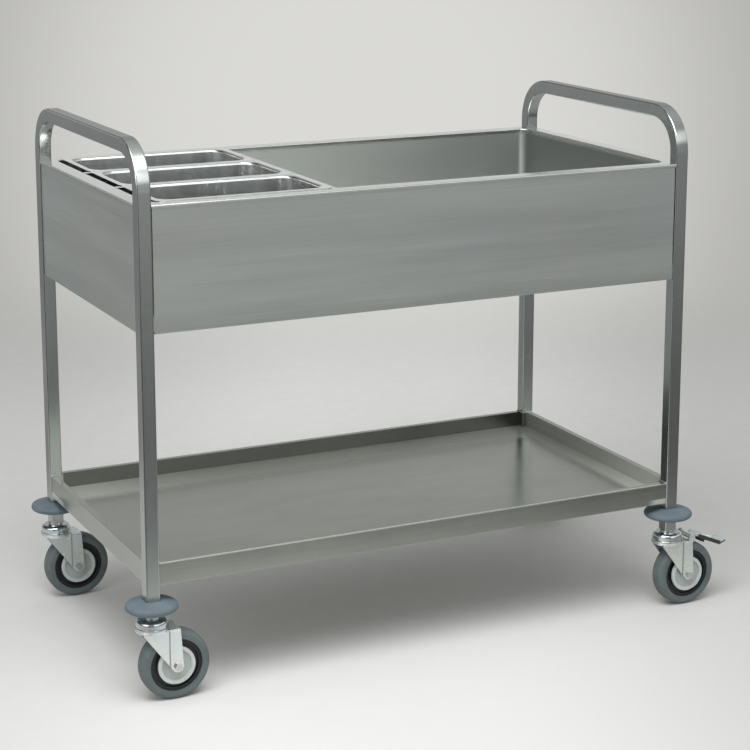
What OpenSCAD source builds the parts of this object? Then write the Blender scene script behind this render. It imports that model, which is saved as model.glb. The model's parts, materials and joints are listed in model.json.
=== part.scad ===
// Stainless clearing trolley: a deep basin with lift-out containers over one shelf, on four swivel castors.
// X runs along the length, Y from front to back, Z up; the origin is the middle of the footprint, on the floor.

/* [Frame] */
// Length over the two end frames
frame_l = 1075; // [800:5:1400]
// Side of the square tube that the end frames are bent from
tube = 25; // [20:1:30]
// Wall of the square tube
tube_wall = 1.5; // [1:0.1:2.5]
// Outer corner radius of the square tube
tube_r = 3; // [2.6:0.1:5]
// Bend radius of the handles, at the middle of the tube
bend_r = 72; // [45:1:95]
// Straight leg above the rim, before the handle's bend
handle_stand = 19.5; // [5:0.5:60]
// Leg below the shelf
leg_below_shelf = 56; // [35:1:120]

/* [Basin] */
// Width of the flat rim, from the legs' outer faces to the well
rim_w = 31; // [30.5:0.5:45]
// Height of the lip turned down around the rim
lip_h = 6; // [4:0.5:15]
// Set-back of the rim from the legs' outer faces
rim_set = 1; // [0:0.1:1.5]
// Visible height of the side panels, below the lip
apron_h = 212; // [160:1:300]
// Depth of the well below the rim
well_depth = 200; // [155:1:215]
// Corner radius of the well
well_r = 20; // [4:1:30]
// Thickness of the sheet steel
sheet = 1.5; // [0.8:0.1:2]
// Gap between the lip and the side panels behind it
lip_gap = 0.5; // [0.2:0.1:3]
// Width of the fold along the panels' lower edges
fold_w = 16; // [8:1:18]
// Open joint between the panels' ends and the legs
panel_gap = 1.2; // [0.2:0.1:3]

/* [Containers] */
// Length of one container over its rim, along X
pan_l = 325; // [250:1:330]
// Width of one container over its rim, along Y
pan_w = 176; // [150:1:200]
// Depth of a container
pan_depth = 150; // [65:1:150]
// Thickness of the container's sheet
pan_t = 1.2; // [0.8:0.1:2]
// Width of the container's rim
pan_rim = 12; // [10.5:0.5:20]
// Corner radius of the container's mouth
pan_r = 28; // [10:1:45]
// Gap between two neighbouring containers
pan_gap = 0.6; // [0.4:0.1:2]
// How far the outer containers reach over the basin's rim
pan_rest = 5; // [3:0.5:8]
// Open slot between the basin's end wall and the containers
pan_slot = 11; // [2:0.5:30]
// Width of the rail along the containers' right-hand edges
rail_w = 14; // [10:0.5:20]
// How far the containers reach over that rail
rail_rest = 8; // [4:0.5:9]
// Width of the bars between the containers
bar_w = 12; // [6:0.5:16]
// Depth of the rail and the bars
bar_h = 12; // [6:1:25]

/* [Shelf] */
// Height of the shelf's edge
shelf_edge = 40; // [30:1:70]
// Depth of the deck below the shelf's rim
shelf_drop = 30; // [10:1:30]
// Width of the shelf's flat rim
shelf_land = 12; // [6:0.5:18]
// Set-back of the shelf from the legs' outer faces
shelf_set = 2.5; // [0:0.5:6]
// Clear height from the shelf's rim to the basin's panels
bay_h = 399; // [250:1:600]

/* [Bumpers] */
// Diameter of the bumper discs
bumper_d = 92; // [70:1:120]
// Thickness of the bumper discs at the leg
bumper_t = 22; // [14:1:24]
// Thickness of the bumper discs at their round edge
bumper_edge = 12.5; // [8:0.5:14]
// Height of the front left disc above the leg's lower end
bumper_up = 6.5; // [2:0.5:15]
// Extra height of the other three discs
bumper_rise = 15; // [0:0.5:18]
// Clearance between a disc and the leg
bumper_fit = 0.2; // [0.1:0.1:0.8]

/* [Castors] */
// Diameter of the wheels
wheel_d = 125; // [100:1:160]
// Width of the tyre
tyre_w = 32; // [28:1:36]
// Radius of the tyre's shoulders
tyre_r = 9; // [4:0.5:12]
// Thickness of the tyre on the wheel's core
tyre_t = 15.5; // [13:0.5:20]
// Width of the wheel's core
core_w = 24; // [20:1:26]
// Set-back of the thread guards' edge from the edge of the core
guard_in = 13; // [7:0.5:18]
// Distance that the thread guards stand out from the core
guard_h = 5.5; // [4:0.1:6]
// Radius of the axle bolt
axle_r = 4; // [3:0.5:5]
// Radius of the sleeve on the axle
sleeve_r = 6.5; // [6:0.1:8]
// Outer radius of the wheel bearings
bearing_r = 11; // [9.5:0.5:14]
// Width of one wheel bearing
bearing_w = 8; // [5:0.5:9]
// Trail from the swivel axis to the axle
trail = 38; // [30:0.5:48]
// Gap between the thread guards and the fork
fork_gap = 1.5; // [0.8:0.1:3]
// Thickness of the fork's sheet
fork_t = 2.5; // [2:0.1:4]
// Extra thickness of the strip pressed along the fork's back
strip_t = 1.2; // [0.5:0.1:2]
// Radius of the fork's end around the axle
fork_end_r = 10.5; // [9:0.5:18]
// Thickness of the fork's top plate
plate_t = 3; // [2:0.1:5]
// Gap between the tyre and the fork's top plate
wheel_gap = 3; // [2:0.1:8]
// Radius of the swivel head
head_r = 28; // [26:0.5:34]
// Height of the swivel head
head_h = 20; // [16:0.5:30]
// Radius of the kingpin
kingpin_r = 6; // [4:0.5:8]
// Pitch radius of the ball race
race_r = 20; // [18.5:0.5:21]
// Diameter of the balls
ball_d = 6; // [4:0.5:6.5]
// Number of balls in a race
ball_count = 14; // [8:1:17]
// Open slit between the swivel head and the fork
slit = 0.6; // [0.4:0.1:1]
// Radius of the stem in the leg's plug
stem_r = 6; // [4:0.5:8]
// Length of the stem in the leg's plug
stem_l = 28; // [18:1:40]

/* [Brakes] */
// Length of the pedal from its pin
pedal_l = 72; // [60:1:90]
// Width of the pedal
pedal_w = 34; // [24:1:37]
// Thickness of the pedal's sheet
pedal_t = 2.5; // [1.5:0.1:4]
// Length of the pedal's turned-up toe
toe_l = 16; // [8:1:24]
// Turn of the toe against the pedal, in degrees
toe_turn = 46; // [20:1:70]
// Slope of the released pedal, in degrees
pedal_tilt = 23; // [10:1:24]
// Travel of the pedal, in degrees
pedal_travel = 8; // [4:1:9]
// Radius of the pedal's pin
pin_r = 2.5; // [2:0.1:3]

/* [Hidden] */
$fn = 64;

// Castors stand at the four corners: [left or right, front or back]
FL = [-1, -1];
FR = [1, -1];
BL = [-1, 1];
BR = [1, 1];
CORNERS = [FL, FR, BL, BR];
PAN_COUNT = 3;

// Clearances: shafts that turn, fixed parts that slide together, the tyre on its core and the balls
run_fit = 0.05;
seat_fit = 0.05;
tyre_fit = 0.3;
ball_gap = 0.3;

// Overrun of a cut beyond the face that it opens, and overlap of joined shapes
lap = 1;

// Depth over the legs: the row of containers reaches pan_rest over the rim at the front and at the back
frame_w = PAN_COUNT * pan_w - 2 * pan_rest + 2 * rim_w;

// Heights, from the floor up
axle_z = wheel_d / 2;
plate_z0 = wheel_d + wheel_gap;
plate_z1 = plate_z0 + plate_t;
race_h = 2.4;
head_z0 = plate_z1 + race_h + slit;
leg_z0 = head_z0 + head_h;
function bumper_z0(c) = leg_z0 + bumper_up + (c == FL ? 0 : bumper_rise);
shelf_z0 = leg_z0 + leg_below_shelf;
shelf_z1 = shelf_z0 + shelf_edge;
deck_z1 = shelf_z1 - shelf_drop;
apron_z0 = shelf_z1 + bay_h;
lip_z0 = apron_z0 + apron_h;
rim_z1 = lip_z0 + lip_h;
rim_z0 = rim_z1 - sheet;
well_z0 = rim_z1 - well_depth;
bend_z = rim_z1 + handle_stand;
handle_z = bend_z + bend_r;

// Places in plan
leg_x = frame_l / 2 - tube / 2;
leg_y = frame_w / 2 - tube / 2;
bay_x = frame_l / 2 - tube;
bay_y = frame_w / 2 - tube;
well_x = frame_l / 2 - rim_w;
well_y = frame_w / 2 - rim_w;
pan_x0 = pan_slot - well_x;
pan_x1 = pan_x0 + pan_l;
rail_x0 = pan_x1 - rail_rest;

// Side panels stand behind the lip
panel_set = rim_set + sheet + lip_gap;

// Corners of the containers' rims
pan_rim_r = 12;

// Swivel head and kingpin
head_drum_h = 9;
head_round = 7;
head_bead = 1.5;
head_bead_h = 2;
neck_h = head_h - head_drum_h - head_round;
neck_r = 14;
kingpin_flange = 3;
kingpin_end_r = kingpin_r + kingpin_flange;
kingpin_end_h = 4;
race_ring_w = 4;
race_ring_gap = 0.7;
race_ring_r = race_r + ball_d / 2 + ball_gap + race_ring_gap;

// Flat ring of the bumper discs around the corners of the leg
bumper_land = 1.2;

// Leg plug
plug_w = tube - 2 * tube_wall - 2 * seat_fit;
plug_over_stem = 4;

// Fork, seen from the side: u runs back along the trail, v is the height
fork_in = core_w / 2 + guard_h + fork_gap;
fork_out = fork_in + fork_t;
fork_front_u = -22;
fork_front_drop = 5;
strip_front = 14;
strip_u = trail - strip_front;
plate_over = 1;
pivot_back = 6;
pivot_u = trail + pivot_back;
pivot_up = 6;
pivot_v = plate_z1 + pivot_up;
ear_t = 4;
ear_r = pin_r + ear_t;
plate_back_u = pivot_u - ear_r;

// Axle bolt and nut
hex_over = 3.2;
hex_r = axle_r + hex_over;
hex_h = 5.2;
bolt_end = 2;

// Wheel core, thread guards and tyre seat
core_d = wheel_d - 2 * tyre_t;
guard_d = core_d - 2 * guard_in;
bearing_out = core_w / 2;
guard_bore_gap = 0.5;
guard_lip_w = 6.5;
guard_lip_under = 0.5;
guard_boss_r = 11;
guard_dish = 2;
core_web_in = 4;
core_web_w = core_w - 2 * core_web_in;
core_hub_t = 5;
core_hub_r = bearing_r + core_hub_t;
core_bore_r = (sleeve_r + bearing_r) / 2;
core_rim_t = 6;

// Pedal: s runs along it from the pin, its sheet lies pedal_rise above the pin
barrel_t = 2.5;
barrel_r = pin_r + barrel_t;
barrel_gap = 0.5;
pedal_rise = 2;
cheek_h = 5;
cheek_t = 2;
cheek_s0 = 16;
press = pedal_tilt + pedal_travel;
shoe_gap = 0.9;
shoe_l = 12;
shoe_in = 5;
shoe_w = tyre_w - 2 * shoe_in;
shoe_s = (pivot_v - axle_z) * sin(press) - pivot_back * cos(press);
shoe_drop = (pivot_v - axle_z) * cos(press) + pivot_back * sin(press) - wheel_d / 2 - shoe_gap;
pin_head_h = 1.5;
pin_head_over = 1.2;
pin_head_r = pin_r + pin_head_over;

// The footprint's middle lies right of the frame's middle, because the castors trail to the right
pedal_reach = pivot_u + pedal_l * cos(pedal_tilt) + pedal_rise * sin(pedal_tilt)
  + toe_l * cos(toe_turn - pedal_tilt);
right_reach = max(pedal_reach, trail + wheel_d / 2, bumper_d / 2);
left_reach = max(wheel_d / 2 - trail, head_r + head_bead, bumper_d / 2);
shift_x = (right_reach - left_reach) / 2;

// Colours
steel_colour = [0.62, 0.63, 0.62];
bright_colour = [0.74, 0.75, 0.75];
zinc_colour = [0.80, 0.82, 0.82];
rubber_colour = [0.36, 0.40, 0.41];
core_colour = [0.07, 0.08, 0.09];
guard_colour = [0.80, 0.82, 0.81];
bumper_colour = [0.42, 0.49, 0.56];

// Point where a line from point p touches the circle about c; side is 1 or -1
function tangent(p, c, r, side) =
  let (d = p - c, a = atan2(d[1], d[0]) + side * acos(r / norm(d)))
  c + r * [cos(a), sin(a)];

// Shared shapes

// Rectangle with rounded corners, centred
module round_rect(size, r) {
  square([size[0] - 2 * r, size[1]], center = true);
  square([size[0], size[1] - 2 * r], center = true);
  for (c = CORNERS)
    translate([c[0] * (size[0] / 2 - r), c[1] * (size[1] / 2 - r)])
      circle(r);
}

// Plan of the frame, drawn in by inset, with a square of side notch cut from each corner of the frame
module notched_plan(inset, notch) {
  difference() {
    square([frame_l - 2 * inset, frame_w - 2 * inset], center = true);
    for (c = CORNERS)
      translate([c[0] * (frame_l / 2 - notch / 2), c[1] * (frame_w / 2 - notch / 2)])
        square(notch, center = true);
  }
}

module notched_ring(outset, inset, outer_notch, inner_notch) {
  difference() {
    notched_plan(outset, outer_notch);
    notched_plan(inset, inner_notch);
  }
}

// Extrusion between two heights
module slab(z0, z1) {
  translate([0, 0, z0])
    linear_extrude(z1 - z0)
      children();
}

// Outline in the u-v plane given a thickness along Y, from y0 to y1
module upright(y0, y1) {
  translate([0, y1, 0])
    rotate([90, 0, 0])
      linear_extrude(y1 - y0)
        children();
}

// Round bar along Y between two places
module cross_bar(r, y0, y1, fn = 64) {
  translate([0, y1, 0])
    rotate([90, 0, 0])
      cylinder(h = y1 - y0, r = r, $fn = fn);
}

module in_frame() {
  translate([-shift_x, 0, 0])
    children();
}

module at_corner(c) {
  in_frame()
    translate([c[0] * leg_x, c[1] * leg_y, 0])
      children();
}

module at_axle(c) {
  at_corner(c)
    translate([trail, 0, axle_z])
      children();
}

// Shape turned about the wheel's axle, drawn as radius across and Y up
module about_axle(c) {
  at_axle(c)
    rotate([90, 0, 0])
      rotate_extrude()
        children();
}

// End frames

module tube_profile() {
  bore = tube - 2 * tube_wall;
  difference() {
    round_rect([tube, tube], tube_r);
    round_rect([bore, bore], tube_r - tube_wall);
  }
}

module tube_bend(turn) {
  rotate([0, 90, 0])
    rotate([0, 0, turn])
      rotate_extrude(angle = 90)
        translate([bend_r, 0])
          tube_profile();
}

// Two legs and the handle between them, bent from one tube
module end_frame(side) {
  grip = leg_y - bend_r;
  color(steel_colour)
    in_frame()
      translate([side * leg_x, 0, 0]) {
        for (s = [-1, 1])
          translate([0, s * leg_y, 0])
            slab(leg_z0, bend_z)
              tube_profile();
        translate([0, -grip, bend_z])
          tube_bend(180);
        translate([0, grip, bend_z])
          tube_bend(90);
        translate([0, grip, handle_z])
          rotate([90, 0, 0])
            linear_extrude(2 * grip)
              tube_profile();
      }
}

// Square plugs in the legs' lower ends, tapped for the castors' stems
module leg_plugs() {
  color(zinc_colour)
    for (c = CORNERS)
      at_corner(c)
        difference() {
          slab(leg_z0, leg_z0 + stem_l + plug_over_stem)
            round_rect([plug_w, plug_w], tube_r - tube_wall);
          translate([0, 0, leg_z0 - lap])
            cylinder(h = stem_l + lap + seat_fit, r = stem_r + seat_fit);
        }
}

// Basin

// Side panel between two legs with its lower edge folded in, along X at the front before it is turned
module panel(length, face) {
  translate([-length / 2, panel_set - face, apron_z0])
    cube([length, sheet, rim_z0 - apron_z0]);
  translate([-length / 2, panel_set - face, apron_z0])
    cube([length, fold_w, sheet]);
}

module apron_long(turn) {
  color(steel_colour)
    in_frame()
      rotate(turn)
        panel(2 * (bay_x - panel_gap), frame_w / 2);
}

module apron_end(turn) {
  color(steel_colour)
    in_frame()
      rotate(turn)
        panel(2 * (bay_y - panel_gap), frame_l / 2);
}

// Well, flat rim and turned-down lip, folded and welded from one sheet
module basin() {
  color(bright_colour)
    in_frame()
      difference() {
        union() {
          slab(rim_z0, rim_z1)
            notched_plan(rim_set, tube);
          slab(lip_z0, rim_z1)
            notched_ring(rim_set, rim_set + sheet, tube, tube);
          slab(well_z0 - sheet, rim_z1)
            round_rect([2 * (well_x + sheet), 2 * (well_y + sheet)], well_r + sheet);
        }
        slab(well_z0, rim_z1 + lap)
          round_rect([2 * well_x, 2 * well_y], well_r);
      }
}

// Containers and what carries them

function pan_y(i) = (i - (PAN_COUNT - 1) / 2) * pan_w;

module pan_rail() {
  color(bright_colour)
    in_frame()
      translate([rail_x0, -well_y, rim_z1 - bar_h])
        cube([rail_w, 2 * well_y, bar_h]);
}

// Bars from the basin's end wall to the rail, under the containers' neighbouring rims
module pan_bars() {
  color(bright_colour)
    in_frame()
      for (i = [1 : PAN_COUNT - 1])
        translate([-well_x, pan_y(i) - pan_w / 2 - bar_w / 2, rim_z1 - bar_h])
          cube([rail_x0 + well_x, bar_w, bar_h]);
}

module pan(i) {
  rim = [pan_l, pan_w - pan_gap];
  mouth = [pan_l - 2 * pan_rim, pan_w - 2 * pan_rim];
  color(bright_colour)
    in_frame()
      translate([(pan_x0 + pan_x1) / 2, pan_y(i), 0])
        difference() {
          union() {
            slab(rim_z1, rim_z1 + pan_t)
              round_rect(rim, pan_rim_r);
            slab(rim_z1 - pan_depth, rim_z1 + pan_t)
              round_rect(mouth, pan_r);
          }
          slab(rim_z1 - pan_depth + pan_t, rim_z1 + pan_t + lap)
            round_rect([mouth[0] - 2 * pan_t, mouth[1] - 2 * pan_t], pan_r - pan_t);
        }
}

// Shelf: a deck with an upstand, a flat rim and a skirt all round, cut out around the legs
module shelf() {
  inner = shelf_set + shelf_land;
  wall_notch = max(tube, inner) + sheet;
  color(steel_colour)
    in_frame() {
      slab(shelf_z0, shelf_z1)
        notched_ring(shelf_set, shelf_set + sheet, tube, tube + sheet);
      slab(shelf_z1 - sheet, shelf_z1)
        notched_ring(shelf_set, inner, tube, wall_notch);
      slab(deck_z1 - sheet, shelf_z1)
        notched_ring(inner - sheet, inner, wall_notch - sheet, wall_notch);
      slab(deck_z1 - sheet, deck_z1)
        notched_plan(inner - sheet, wall_notch - sheet);
    }
}

// Bumper disc around a leg: thickest at the leg, thinning to a round edge
module bumper(c) {
  round = bumper_edge / 2;
  edge = [bumper_d / 2 - round, bumper_t / 2];
  hole = tube + 2 * bumper_fit;
  hub_r = hole / 2 * sqrt(2) + bumper_land;
  z0 = bumper_z0(c);
  color(bumper_colour)
    at_corner(c)
      difference() {
        translate([0, 0, z0])
          rotate_extrude() {
            polygon([
              [0, 0],
              [hub_r, 0],
              tangent([hub_r, 0], edge, round, 1),
              edge,
              tangent([hub_r, bumper_t], edge, round, -1),
              [hub_r, bumper_t],
              [0, bumper_t]
            ]);
            translate(edge)
              circle(round);
          }
        slab(z0 - lap, z0 + bumper_t + lap)
          square(hole, center = true);
      }
}

// Castors

// Domed swivel head with its stem above, kingpin below and the upper ball race inside
module castor_head(c) {
  color(zinc_colour)
    at_corner(c)
      difference() {
        union() {
          rotate_extrude() {
            translate([0, head_z0])
              square([head_r, head_drum_h]);
            translate([0, head_z0])
              square([head_r + head_bead, head_bead_h]);
            translate([0, head_z0])
              square([head_r - head_round, head_drum_h + head_round]);
            translate([head_r - head_round, head_z0 + head_drum_h])
              circle(head_round);
            translate([0, leg_z0 - neck_h - lap])
              square([neck_r, neck_h + lap]);
          }
          translate([0, 0, leg_z0 - lap])
            cylinder(h = stem_l + lap, r = stem_r);
          translate([0, 0, plate_z0 - ball_gap - lap])
            cylinder(h = head_z0 - plate_z0 + ball_gap + 2 * lap, r = kingpin_r);
          translate([0, 0, plate_z0 - ball_gap - kingpin_end_h])
            cylinder(h = kingpin_end_h, r = kingpin_end_r);
        }
        rotate_extrude()
          translate([race_r - ball_d / 2 - ball_gap, head_z0 - lap])
            square([ball_d + 2 * ball_gap, plate_z1 + ball_d + 2 * ball_gap - head_z0 + lap]);
      }
}

module castor_balls(c) {
  color(bright_colour)
    at_corner(c)
      for (i = [0 : ball_count - 1])
        rotate(i * 360 / ball_count)
          translate([race_r, 0, plate_z1 + ball_gap + ball_d / 2])
            sphere(d = ball_d, $fn = 32);
}

// Side of the fork: from the top plate down to a round end at the axle
module fork_outline() {
  front = [fork_front_u, plate_z1 - fork_front_drop];
  back = [pivot_u, plate_z1];
  axle = [trail, axle_z];
  polygon([
    [fork_front_u, plate_z1],
    back,
    tangent(back, axle, fork_end_r, -1),
    axle,
    tangent(front, axle, fork_end_r, 1),
    front
  ]);
  translate(axle)
    circle(fork_end_r);
}

// Ear above the fork's side, with a slanted foot
module fork_ear() {
  polygon([
    [pivot_u, plate_z0 - ear_r],
    [pivot_u + ear_r, pivot_v],
    [pivot_u - ear_r, pivot_v],
    [pivot_u - ear_r, plate_z0]
  ]);
  translate([pivot_u, pivot_v])
    circle(ear_r);
}

// Pressed fork; the braked castors at the right-hand end have ears for the pedal's pin
module castor_fork(c) {
  braked = c[0] > 0;
  bore_y = fork_out + strip_t + lap;
  color(zinc_colour)
    at_corner(c)
      difference() {
        union() {
          slab(plate_z0, plate_z1) {
            circle(head_r + plate_over);
            translate([0, -fork_out])
              square([braked ? plate_back_u : pivot_u, 2 * fork_out]);
          }
          slab(plate_z1 - lap, plate_z1 + race_h)
            difference() {
              circle(race_ring_r + race_ring_w);
              circle(race_ring_r);
            }
          for (s = [0, 1])
            mirror([0, s, 0]) {
              upright(fork_in, fork_out)
                fork_outline();
              upright(fork_in, fork_out + strip_t)
                intersection() {
                  fork_outline();
                  translate([strip_u, 0])
                    square([2 * trail, plate_z0]);
                }
              if (braked)
                upright(fork_in, fork_out)
                  fork_ear();
            }
        }
        translate([0, 0, plate_z0 - lap])
          cylinder(h = plate_t + 2 * lap, r = kingpin_r + run_fit);
        translate([trail, 0, axle_z])
          cross_bar(axle_r + seat_fit, -bore_y, bore_y);
        if (braked)
          translate([pivot_u, 0, pivot_v])
            cross_bar(pin_r + seat_fit, -bore_y, bore_y);
      }
}

// Axle bolt with its nut, and the sleeve that the fork clamps
module castor_axle(c) {
  outer = fork_out + strip_t;
  color(zinc_colour)
    at_axle(c) {
      cross_bar(axle_r, -outer - hex_h, outer + hex_h + bolt_end);
      cross_bar(hex_r, -outer - hex_h, -outer, 6);
      cross_bar(hex_r, outer, outer + hex_h, 6);
      cross_bar(sleeve_r, -fork_in, fork_in);
    }
}

// Core of the wheel: hub, web and the rim that carries the tyre
module wheel_core(c) {
  color(core_colour)
    about_axle(c)
      difference() {
        union() {
          translate([core_bore_r, -core_w / 2])
            square([core_hub_r - core_bore_r, core_w]);
          translate([bearing_r, -core_web_w / 2])
            square([core_d / 2 - bearing_r, core_web_w]);
          translate([core_d / 2 - core_rim_t, -core_w / 2])
            square([core_rim_t, core_w]);
        }
        for (s = [-1, 1])
          translate([0, s * (bearing_out - bearing_w / 2) - bearing_w / 2])
            square([bearing_r, bearing_w]);
      }
}

module wheel_tyre(c) {
  half = tyre_w / 2;
  outer = wheel_d / 2;
  bore = core_d / 2 + tyre_fit;
  color(rubber_colour)
    about_axle(c) {
      translate([bore, -half])
        square([outer - tyre_r - bore, tyre_w]);
      translate([bore, -half + tyre_r])
        square([outer - bore, tyre_w - 2 * tyre_r]);
      for (s = [-1, 1])
        translate([outer - tyre_r, s * (half - tyre_r)])
          intersection() {
            circle(tyre_r);
            translate([0, -tyre_r])
              square([tyre_r, 2 * tyre_r]);
          }
    }
}

// Dished discs clipped to both sides of the core
module thread_guards(c) {
  bore = sleeve_r + guard_bore_gap;
  color(guard_colour)
    about_axle(c)
      for (s = [0, 1])
        mirror([0, s])
          translate([0, core_w / 2]) {
            translate([bore, 0])
              square([guard_d / 2 - bore, guard_dish]);
            translate([guard_d / 2 - guard_lip_w, 0])
              square([guard_lip_w, guard_h - guard_lip_under]);
            translate([bore, 0])
              square([guard_boss_r - bore, guard_h]);
          }
}

module wheel_bearings(c) {
  bore = sleeve_r + run_fit;
  color(bright_colour)
    about_axle(c)
      for (s = [-1, 1])
        translate([bore, s * (bearing_out - bearing_w / 2) - bearing_w / 2])
          square([bearing_r - bore, bearing_w]);
}

// Brakes

module on_pedal(c) {
  at_corner(c)
    translate([pivot_u, 0, pivot_v])
      rotate([0, pedal_tilt, 0])
        children();
}

// Side of the pedal's sheet, with its toe turned up at the far end
module pedal_outline() {
  bend = [pedal_l, pedal_rise];
  along = [cos(toe_turn), sin(toe_turn)];
  across = [-sin(toe_turn), cos(toe_turn)];
  polygon([
    [0, pedal_rise],
    bend,
    bend + toe_l * along,
    bend + toe_l * along + pedal_t * across,
    bend + pedal_t * [-tan(toe_turn / 2), 1],
    [0, pedal_rise + pedal_t]
  ]);
}

// Pedal with its barrel on the pin, raised edges and a turned-up toe
module brake_pedal(c) {
  barrel = fork_in - barrel_gap;
  color(zinc_colour)
    on_pedal(c)
      difference() {
        union() {
          cross_bar(barrel_r, -barrel, barrel);
          upright(-pedal_w / 2, pedal_w / 2)
            pedal_outline();
          for (y = [-pedal_w / 2, pedal_w / 2 - cheek_t])
            translate([cheek_s0, y, pedal_rise])
              cube([pedal_l - cheek_s0, cheek_t, pedal_t + cheek_h]);
        }
        cross_bar(pin_r + run_fit, -barrel - lap, barrel + lap);
      }
}

module brake_pin(c) {
  color(zinc_colour)
    at_corner(c)
      translate([pivot_u, 0, pivot_v]) {
        cross_bar(pin_r, -fork_out - pin_head_h, fork_out + pin_head_h);
        for (s = [0, 1])
          mirror([0, s, 0])
            cross_bar(pin_head_r, fork_out, fork_out + pin_head_h);
      }
}

// Block under the pedal that bears on the tyre
module brake_shoe(c) {
  color(core_colour)
    on_pedal(c)
      translate([shoe_s - shoe_l / 2, -shoe_w / 2, -shoe_drop])
        cube([shoe_l, shoe_w, shoe_drop + pedal_rise]);
}

end_frame(-1);  // end_frame_left
end_frame(1);  // end_frame_right
apron_long(0);  // apron_front
apron_long(180);  // apron_back
apron_end(-90);  // apron_left
apron_end(90);  // apron_right
basin();
pan_rail();
pan_bars();
pan(0);  // pan_front
pan(1);  // pan_middle
pan(2);  // pan_back
shelf();
leg_plugs();
bumper(FL);  // bumper_fl
bumper(FR);  // bumper_fr
bumper(BL);  // bumper_bl
bumper(BR);  // bumper_br
castor_head(FL);  // castor_head_fl
castor_head(FR);  // castor_head_fr
castor_head(BL);  // castor_head_bl
castor_head(BR);  // castor_head_br
castor_balls(FL);  // castor_balls_fl
castor_balls(FR);  // castor_balls_fr
castor_balls(BL);  // castor_balls_bl
castor_balls(BR);  // castor_balls_br
castor_fork(FL);  // castor_fork_fl
castor_fork(FR);  // castor_fork_fr
castor_fork(BL);  // castor_fork_bl
castor_fork(BR);  // castor_fork_br
castor_axle(FL);  // castor_axle_fl
castor_axle(FR);  // castor_axle_fr
castor_axle(BL);  // castor_axle_bl
castor_axle(BR);  // castor_axle_br
wheel_core(FL);  // wheel_core_fl
wheel_core(FR);  // wheel_core_fr
wheel_core(BL);  // wheel_core_bl
wheel_core(BR);  // wheel_core_br
wheel_tyre(FL);  // wheel_tyre_fl
wheel_tyre(FR);  // wheel_tyre_fr
wheel_tyre(BL);  // wheel_tyre_bl
wheel_tyre(BR);  // wheel_tyre_br
thread_guards(FL);  // thread_guards_fl
thread_guards(FR);  // thread_guards_fr
thread_guards(BL);  // thread_guards_bl
thread_guards(BR);  // thread_guards_br
wheel_bearings(FL);  // wheel_bearings_fl
wheel_bearings(FR);  // wheel_bearings_fr
wheel_bearings(BL);  // wheel_bearings_bl
wheel_bearings(BR);  // wheel_bearings_br
brake_pedal(FR);  // brake_pedal_fr
brake_pedal(BR);  // brake_pedal_br
brake_pin(FR);  // brake_pin_fr
brake_pin(BR);  // brake_pin_br
brake_shoe(FR);  // brake_shoe_fr
brake_shoe(BR);  // brake_shoe_br
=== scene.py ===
import json
import math
from functools import cached_property

import bmesh
import bpy
from bpy.props import FloatProperty, FloatVectorProperty, IntProperty, PointerProperty
from bpy.types import Operator, Panel, PropertyGroup
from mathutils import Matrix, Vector


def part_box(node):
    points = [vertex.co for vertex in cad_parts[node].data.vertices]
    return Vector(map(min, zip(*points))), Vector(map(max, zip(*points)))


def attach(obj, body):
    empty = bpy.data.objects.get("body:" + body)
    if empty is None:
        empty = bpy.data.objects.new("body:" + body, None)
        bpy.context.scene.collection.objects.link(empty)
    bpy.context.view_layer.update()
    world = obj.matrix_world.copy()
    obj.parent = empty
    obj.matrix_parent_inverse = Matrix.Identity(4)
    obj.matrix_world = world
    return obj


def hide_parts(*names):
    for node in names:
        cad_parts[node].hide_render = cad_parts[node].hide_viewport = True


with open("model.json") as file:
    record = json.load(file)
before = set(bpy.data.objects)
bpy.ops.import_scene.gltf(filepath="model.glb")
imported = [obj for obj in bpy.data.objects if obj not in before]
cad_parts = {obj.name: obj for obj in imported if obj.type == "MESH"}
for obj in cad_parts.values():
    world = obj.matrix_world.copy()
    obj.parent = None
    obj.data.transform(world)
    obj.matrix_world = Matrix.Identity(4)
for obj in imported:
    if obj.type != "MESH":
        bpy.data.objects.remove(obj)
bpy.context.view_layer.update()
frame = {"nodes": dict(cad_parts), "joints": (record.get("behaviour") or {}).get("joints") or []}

bl_info = {
    "name": "Clearing trolley",
    "version": (1, 0, 0),
    "blender": (4, 5, 0),
    "location": "3D View > Sidebar > Trolley",
    "description": "Finishes a stainless clearing trolley and sets it in a pale studio",
    "category": "Object",
}

NODES = frame["nodes"]
HINGES = {joint["name"]: Vector(joint["pos_m"]) for joint in frame["joints"] if "pos_m" in joint}
CORNERS = ("fl", "fr", "bl", "br")
BRAKED = ("fr", "br")
CONTAINERS = ("front", "middle", "back")

# Lengths below which points are one point, or lie on one plane
MERGE = 1e-5
NEAR = 1e-4
# Width of the band along the basin's outer edge in which its lip starts
RIM_BAND = 0.002
# Angles from which faces differ, edges are sharp, and folds, rims and ribs are rounded
FLAT = math.radians(0.4)
CREASE = math.radians(38)
FOLD_CREASE = 1.0
RIM_CREASE = math.radians(50)
RIB_CREASE = math.radians(30)
# Widths of the bright wear along edges
SHEET_WEAR = 0.0012
PART_WEAR = 0.0010
# Colour casts of the brushed sheet, the zinc plate and the welds
BRUSHED_COOL, BRUSHED_WARM = (0.985, 1.0, 1.008, 1.0), (1.008, 1.0, 0.982, 1.0)
ZINC_COOL, ZINC_WARM = (0.95, 0.99, 1.03), (1.0, 0.985, 0.93)
WELD_STRAW, WELD_BLUE = (0.98, 0.93, 0.80), (0.80, 0.86, 0.98)
# Fineness of the plastics' grain
CORE_GRAIN = 900.0
GUARD_GRAIN = 1400.0
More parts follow.
